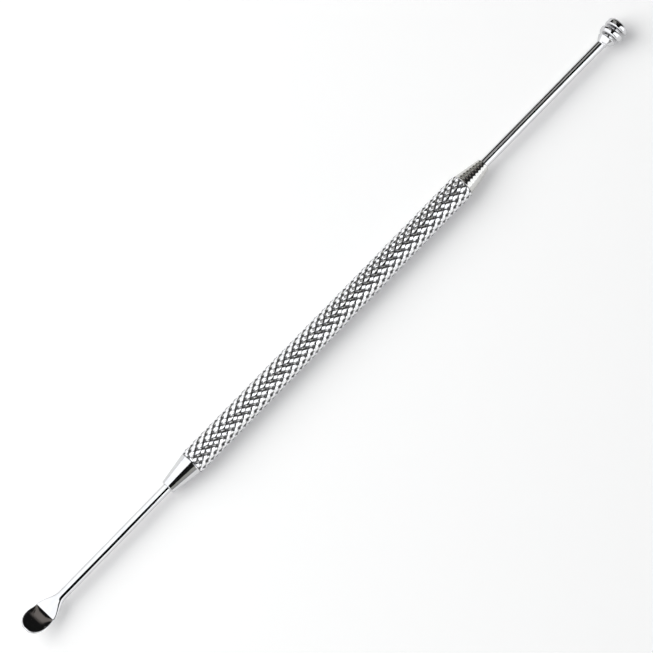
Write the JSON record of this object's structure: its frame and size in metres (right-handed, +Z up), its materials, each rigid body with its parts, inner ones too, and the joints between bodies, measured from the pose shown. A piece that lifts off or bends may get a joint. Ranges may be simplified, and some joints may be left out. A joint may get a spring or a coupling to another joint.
{
  "type": "ear pick",
  "caption": "Double-ended steel ear pick: knurled tube grip, wire shank with a bent scoop on one end and a spiral head on the other.",
  "frame": {"origin": "on the table under the middle of the grip, in the flat top of the knurl's lowest diamond", "axes": "+X along the tool towards the spiral head, so the scoop is at -X; +Z up, the way the scoop opens; +Y across"},
  "size_m": [0.126, 0.004, 0.0043],
  "materials": {
    "knurled_steel": "rolled diamond knurl, polished",
    "polished_steel": "mirror polished",
    "turned_steel": "turned, with fine rings, then polished"
  },
  "bodies": {
    "root": {"knurled_grip": "knurled_steel", "scoop_end_cone": "polished_steel", "spiral_end_cone": "turned_steel", "scoop_shank": "polished_steel", "spiral_shank": "polished_steel"}
  },
  "joints": []
}
